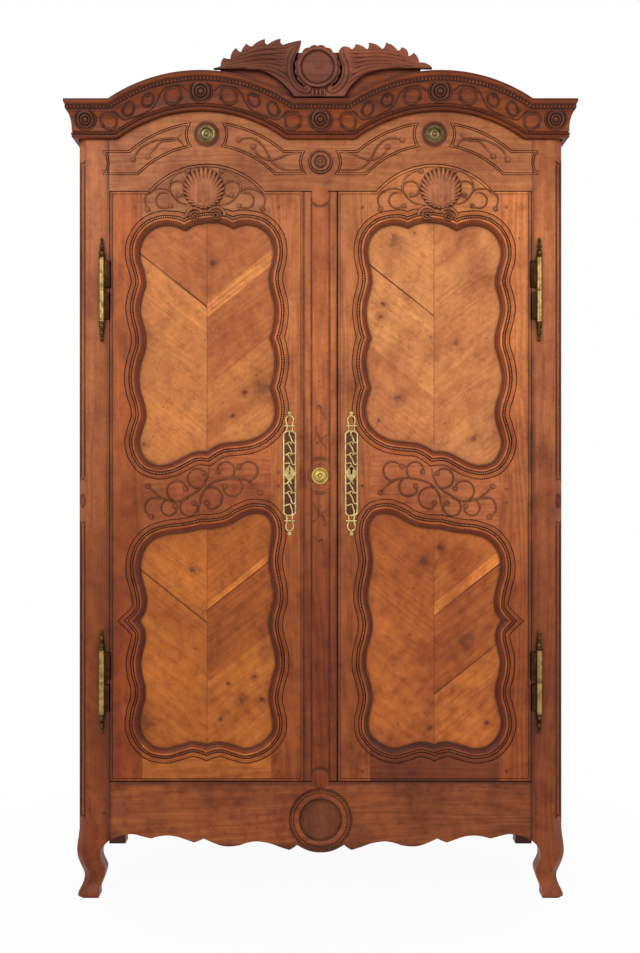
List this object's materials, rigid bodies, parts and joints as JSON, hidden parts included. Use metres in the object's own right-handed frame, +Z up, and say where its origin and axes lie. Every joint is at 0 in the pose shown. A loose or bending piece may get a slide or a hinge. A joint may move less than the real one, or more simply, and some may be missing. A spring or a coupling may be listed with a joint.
{
  "type": "two-door armoire",
  "caption": "Tall wooden cabinet on curved feet with carved double-arched doors that swing on barrel hinges, shelves inside, a coved cornice and a shell crest.",
  "frame": {"origin": "on the floor under the middle of the overall box, doors shut", "axes": "+Z up, doors face -Y, +X to the right of someone who faces the doors"},
  "size_m": [1.428, 0.561, 2.3942],
  "materials": {
    "frame_wood": "satin wax",
    "panel_wood": "satin wax",
    "cornice_wood": "satin wax",
    "crest_wood": "satin wax",
    "inner_wood": "dry unfinished",
    "peg_wood": "satin wax",
    "brass": "aged polish",
    "iron": "dark wrought"
  },
  "bodies": {
    "case": {"left_front_post": "frame_wood", "right_front_post": "frame_wood", "left_rear_post": "frame_wood", "right_rear_post": "frame_wood", "front_top_rail": "frame_wood", "front_bottom_rail": "frame_wood", "rear_top_rail": "inner_wood", "rear_bottom_rail": "inner_wood", "left_side_top_rail": "frame_wood", "left_side_middle_rail": "frame_wood", "left_side_bottom_rail": "frame_wood", "left_side_lower_panel": "panel_wood", "left_side_upper_panel": "panel_wood", "right_side_top_rail": "frame_wood", "right_side_middle_rail": "frame_wood", "right_side_bottom_rail": "frame_wood", "right_side_lower_panel": "panel_wood", "right_side_upper_panel": "panel_wood", "back_boards": "inner_wood", "frame_pegs": "peg_wood", "frieze_bosses": "brass", "floor_boards": "inner_wood", "shelves": "inner_wood", "shelf_cleats": "inner_wood", "top_boards": "inner_wood", "cornice_front": "cornice_wood", "cornice_returns": "cornice_wood", "crest_board": "crest_wood", "crest_left_wing": "crest_wood", "crest_right_wing": "crest_wood", "crest_medallion": "crest_wood", "post_hinge_halves": "brass"},
    "left_door": {"left_door_hinge_stile": "frame_wood", "left_door_meeting_stile": "frame_wood", "left_door_top_rail": "frame_wood", "left_door_middle_rail": "frame_wood", "left_door_bottom_rail": "frame_wood", "left_door_upper_panel": "panel_wood", "left_door_lower_panel": "panel_wood", "left_door_pegs": "peg_wood", "left_door_hinge_halves": "brass", "left_door_lock_plate": "brass", "meeting_strip": "frame_wood", "meeting_strip_boss": "brass", "lock_keeper": "iron", "left_door_bolt_guides": "iron"},
    "right_door": {"right_door_hinge_stile": "frame_wood", "right_door_meeting_stile": "frame_wood", "right_door_top_rail": "frame_wood", "right_door_middle_rail": "frame_wood", "right_door_bottom_rail": "frame_wood", "right_door_upper_panel": "panel_wood", "right_door_lower_panel": "panel_wood", "right_door_pegs": "peg_wood", "right_door_hinge_halves": "brass", "right_door_lock_plate": "brass", "lock_case": "iron"},
    "lock_bolt": {"lock_bolt": "iron"},
    "top_bolt": {"left_door_top_bolt": "iron"},
    "bottom_bolt": {"left_door_bottom_bolt": "iron"}
  },
  "joints": [
    {"name": "left_door_swing", "type": "hinge", "parent": "case", "child": "left_door", "pos_m": [-0.6112, -0.2536, 1.154], "axis": [0, 0, -1], "range_deg": [0, 170]},
    {"name": "right_door_swing", "type": "hinge", "parent": "case", "child": "right_door", "pos_m": [0.6112, -0.2536, 1.154], "axis": [0, 0, 1], "range_deg": [0, 170]},
    {"name": "lock_bolt_throw", "type": "slide", "parent": "right_door", "child": "lock_bolt", "axis": [-1, 0, 0], "range_m": [0, 0.014]},
    {"name": "top_bolt_throw", "type": "slide", "parent": "left_door", "child": "top_bolt", "axis": [0, 0, 1], "range_m": [0, 0.022]},
    {"name": "bottom_bolt_throw", "type": "slide", "parent": "left_door", "child": "bottom_bolt", "axis": [0, 0, -1], "range_m": [0, 0.022]}
  ]
}
